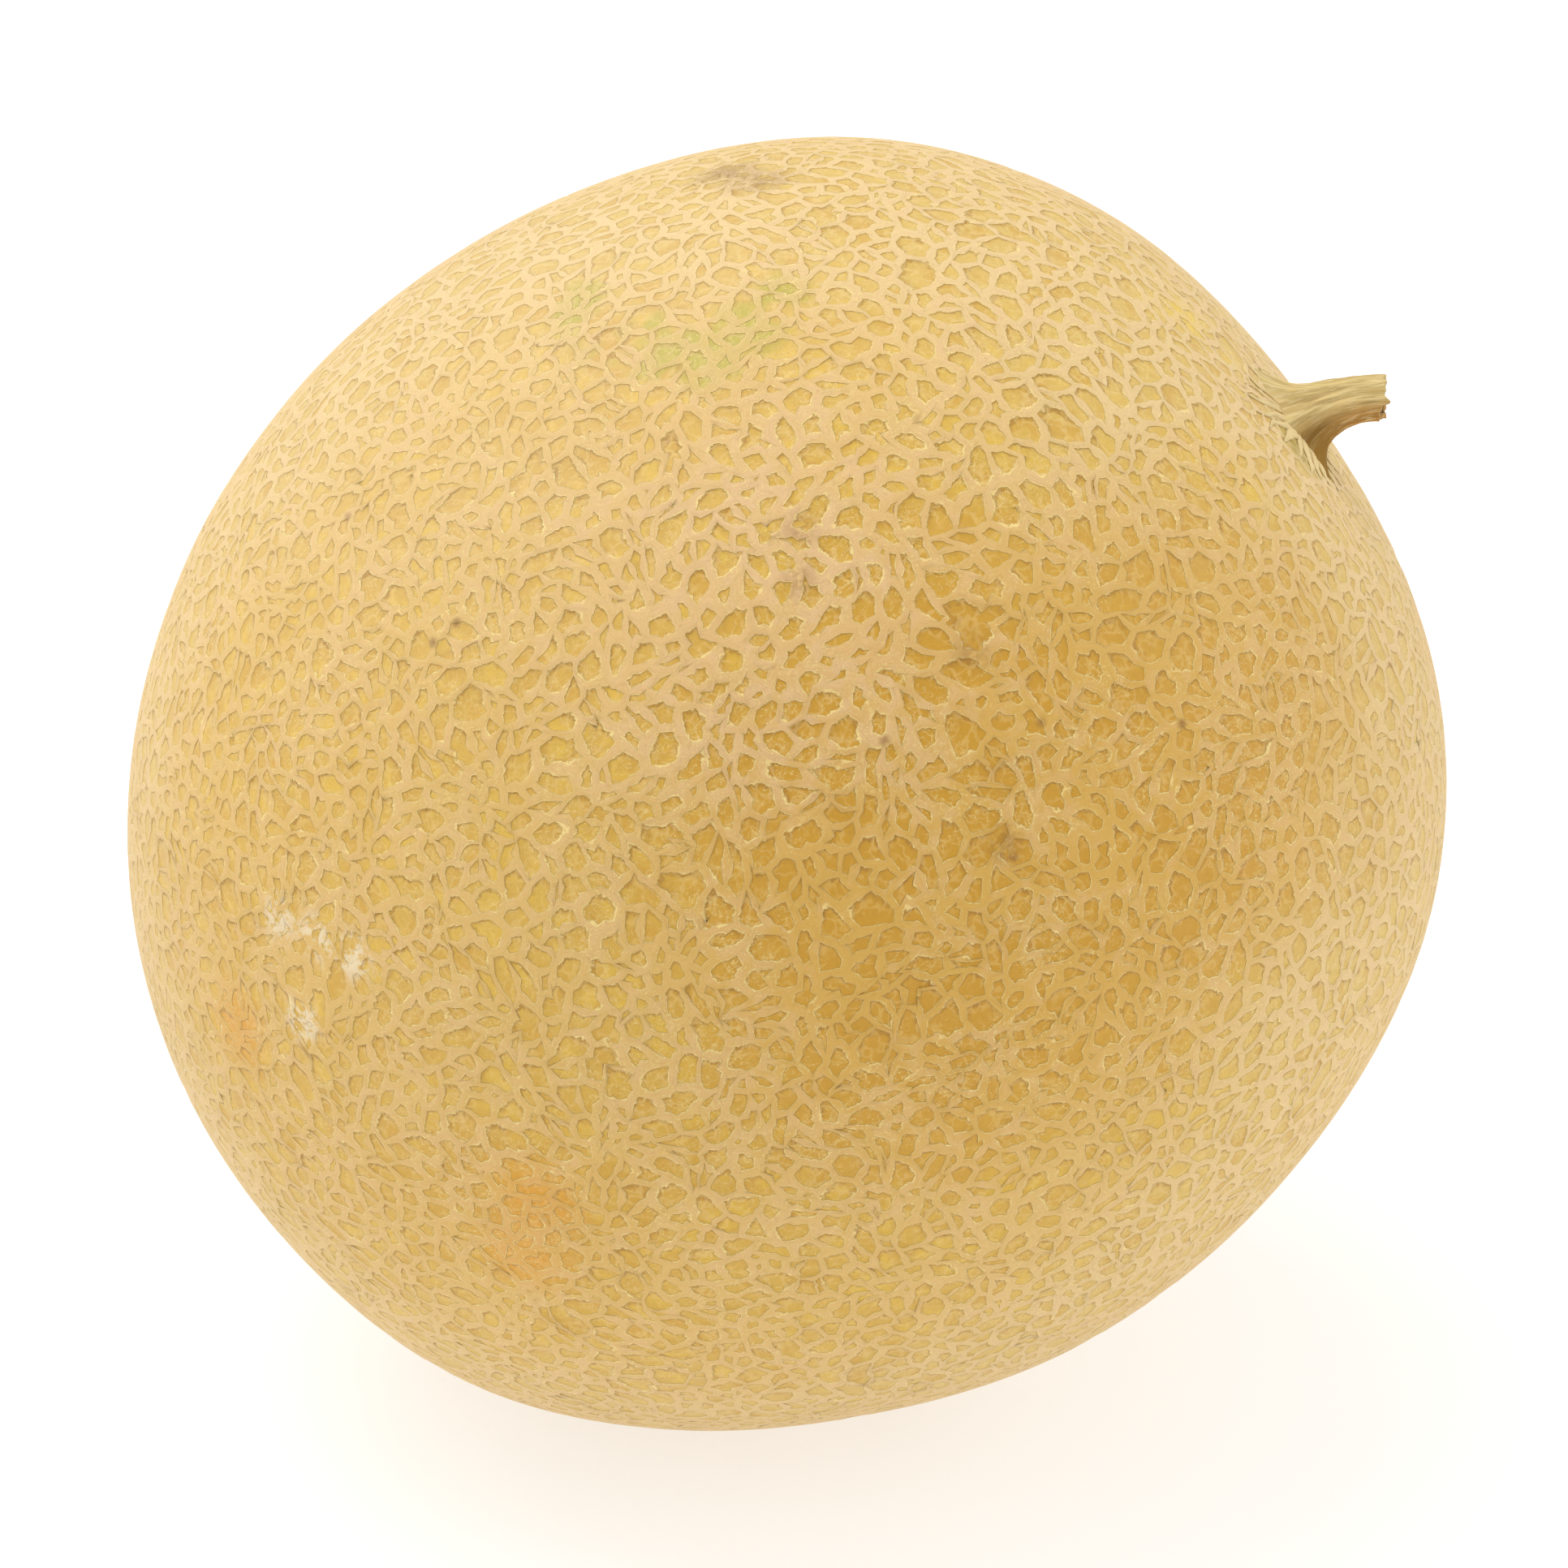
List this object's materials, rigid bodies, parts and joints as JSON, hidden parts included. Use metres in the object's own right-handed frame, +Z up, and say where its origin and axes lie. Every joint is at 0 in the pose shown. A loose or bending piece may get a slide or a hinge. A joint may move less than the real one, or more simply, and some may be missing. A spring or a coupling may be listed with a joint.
{
  "type": "cantaloupe melon",
  "caption": "Whole round netted melon with a short dried stem, lying on its side on a small flat spot.",
  "frame": {"origin": "on the flat spot that the fruit rests on, straight below the fruit's centre", "axes": "+Z up from the surface it rests on, +X level and towards the side that the stem points to, +Y level to the left of the stem; the stem axis lies in the XZ plane, 38.5 degrees above +X"},
  "size_m": [0.1573, 0.15, 0.1532],
  "materials": {
    "netted_rind": "matte yellow-orange rind under a raised, pale beige, corky net",
    "dried_stem": "dry, fibrous, olive-tan stalk with a ragged cut end"
  },
  "bodies": {
    "root": {"melon": "netted_rind", "stem": "dried_stem"}
  },
  "joints": []
}
